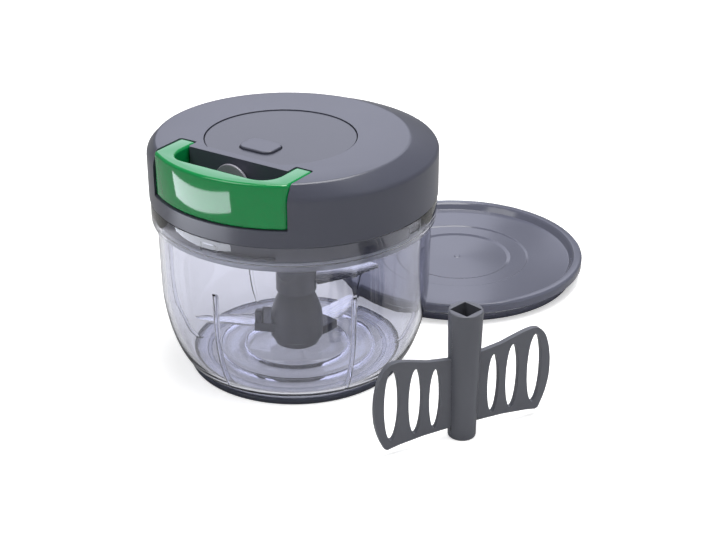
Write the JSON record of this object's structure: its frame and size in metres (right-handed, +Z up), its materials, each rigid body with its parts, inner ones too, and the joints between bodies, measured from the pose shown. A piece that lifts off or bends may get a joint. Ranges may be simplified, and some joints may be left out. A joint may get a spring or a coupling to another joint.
{
  "type": "food chopper",
  "caption": "Pull-cord food chopper: clear bowl, bayonet lid with pull handle and button, blade rotor, plus a storage lid and a mixing paddle.",
  "frame": {"origin": "middle of the base pad's underside, on the bowl's axis, at the level of the surface it stands on", "axes": "+Z up along the bowl's axis, the pull handle faces -Y"},
  "size_m": [0.1938, 0.2552, 0.115],
  "materials": {
    "grey_plastic": "satin moulded ABS",
    "dark_grey_plastic": "satin moulded polypropylene",
    "green_plastic": "polished moulded ABS",
    "clear_plastic": "clear polished SAN",
    "white_plastic": "natural acetal",
    "steel": "polished stainless steel",
    "spring_steel": "spring steel",
    "silicone": "translucent silicone",
    "soft_pad": "matte soft elastomer",
    "cord": "braided polyester"
  },
  "bodies": {
    "bowl_base": {"base_pad": "soft_pad", "bowl": "clear_plastic", "bowl_pin": "steel"},
    "seal": {"lid_seal": "silicone"},
    "lid": {"lid_housing": "grey_plastic", "lower_cover": "grey_plastic", "top_disc": "grey_plastic", "cord_guide": "grey_plastic", "guide_nozzle": "white_plastic", "spool_axle": "steel", "spool_washer": "steel", "recoil_spring": "spring_steel", "drive_bush": "white_plastic", "cover_screw_1": "steel", "cover_screw_2": "steel", "cover_screw_3": "steel", "cover_screw_4": "steel", "button_spring": "spring_steel"},
    "button": {"push_button": "grey_plastic"},
    "handle": {"pull_handle": "green_plastic", "cord_knot": "cord", "cord_lead": "cord"},
    "spool": {"cord_spool": "white_plastic", "cord_winding": "cord"},
    "drive": {"clutch_dog": "white_plastic", "clutch_spring": "spring_steel"},
    "rotor": {"blade_post": "grey_plastic", "blade_upper": "steel", "blade_left": "steel", "blade_rear": "steel", "post_bush": "white_plastic"},
    "spare_lid": {"storage_lid": "grey_plastic", "storage_seal": "silicone"},
    "paddle": {"mixing_paddle": "dark_grey_plastic"}
  },
  "joints": [
    {"name": "lid_turn", "type": "hinge", "parent": "bowl_base", "child": "seal", "pos_m": [0, 0, 0.081], "axis": [0, 0, 1], "range_deg": [-24, 0]},
    {"name": "lid_lift", "type": "slide", "parent": "seal", "child": "lid", "axis": [0, 0, 1], "range_m": [0, 0.08]},
    {"name": "handle_pull", "type": "slide", "parent": "lid", "child": "handle", "axis": [0, -1, 0], "range_m": [0, 0.3], "stiffness_N_per_m": 12, "springref_m": -0.05, "deforming": ["cord_lead", "recoil_spring"]},
    {"name": "spool_spin", "type": "hinge", "parent": "lid", "child": "spool", "pos_m": [0, 0, 0.1041], "axis": [0, 0, 1], "range_deg": [-800, 0]},
    {"name": "drive_spin", "type": "hinge", "parent": "lid", "child": "drive", "pos_m": [0, 0, 0.09], "axis": [0, 0, 1], "range_deg": [-800, 0]},
    {"name": "blade_spin", "type": "hinge", "parent": "seal", "child": "rotor", "pos_m": [0, 0, 0.04], "axis": [0, 0, 1], "range_deg": [-800, 0]},
    {"name": "button_press", "type": "slide", "parent": "lid", "child": "button", "axis": [0, 0, -1], "range_m": [0, 0.0015], "stiffness_N_per_m": 400, "deforming": ["button_spring"]},
    {"name": "spare_lid_slide", "type": "slide", "parent": "bowl_base", "child": "spare_lid", "axis": [0.1582, 0.9874, 0], "range_m": [0, 0.06]},
    {"name": "paddle_slide", "type": "slide", "parent": "bowl_base", "child": "paddle", "axis": [0.9773, -0.2118, 0], "range_m": [0, 0.06]}
  ],
  "couplings": [
    {"joint": "spool_spin", "follows": "handle_pull", "rad_per_m": -46},
    {"joint": "drive_spin", "follows": "handle_pull", "rad_per_m": -46},
    {"joint": "blade_spin", "follows": "handle_pull", "rad_per_m": -46}
  ]
}
